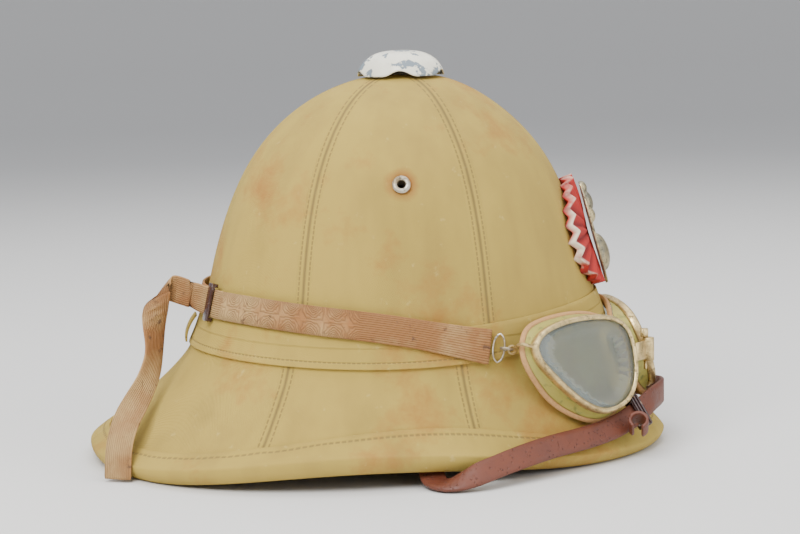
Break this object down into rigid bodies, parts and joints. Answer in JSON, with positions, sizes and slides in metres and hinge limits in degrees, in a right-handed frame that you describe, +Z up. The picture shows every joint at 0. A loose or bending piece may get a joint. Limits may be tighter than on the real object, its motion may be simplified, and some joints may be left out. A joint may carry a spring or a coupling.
{
  "type": "pith helmet with goggles",
  "caption": "Cloth-covered pith helmet with a wrapped band, ventilator cap, cockade and badge, strapped goggles and a leather chin strap.",
  "frame": {"origin": "centre of the hat's footprint, on the surface that its rim rests on", "axes": "+X to the front of the hat, +Y to the wearer's left, +Z up through the crown"},
  "size_m": [0.3207, 0.2709, 0.218],
  "materials": {
    "pith": "raw pith and cork",
    "cover_cloth": "stained khaki cotton drill",
    "cap_paint": "chipped cream enamel",
    "nickel": "dull plated wire and sheet",
    "tarnished_metal": "tarnished",
    "gilt_wire": "worn gilt",
    "slider_metal": "dark brown lacquer",
    "red_ribbon": "pleated ribbon with a pale edge",
    "cup_rubber": "aged greenish rubber",
    "cushion_felt": "frayed felt",
    "tinted_glass": "blue-grey tint",
    "elastic_web": "ribbed elastic, stained",
    "strap_leather": "pitted red-brown leather"
  },
  "bodies": {
    "root": {"helmet_body": "pith", "crown_cover": "cover_cloth", "brim_cover": "cover_cloth", "puggaree": "cover_cloth", "rim_binding": "cover_cloth", "rear_tab": "cover_cloth", "vent_cap": "cap_paint", "vent_collar": "nickel", "side_vent_right": "nickel", "side_vent_left": "nickel", "cockade": "red_ribbon", "badge": "tarnished_metal", "goggle_lens_right": "tinted_glass", "goggle_lens_left": "tinted_glass", "goggle_cup_right": "cup_rubber", "goggle_cup_left": "cup_rubber", "goggle_cushion_right": "cushion_felt", "goggle_cushion_left": "cushion_felt", "goggle_frame_right": "gilt_wire", "goggle_frame_left": "gilt_wire", "goggle_bridge": "gilt_wire", "goggle_strap_right": "elastic_web", "goggle_strap_left": "elastic_web", "strap_slider": "slider_metal", "strap_loop_right": "nickel", "strap_loop_left": "nickel", "strap_ring_right": "nickel", "strap_ring_left": "nickel", "chin_strap_right": "strap_leather", "chin_strap_left": "strap_leather", "chin_strap_end": "strap_leather", "chin_strap_slide": "slider_metal", "chin_strap_post_right": "nickel", "chin_strap_post_left": "nickel"}
  },
  "joints": []
}
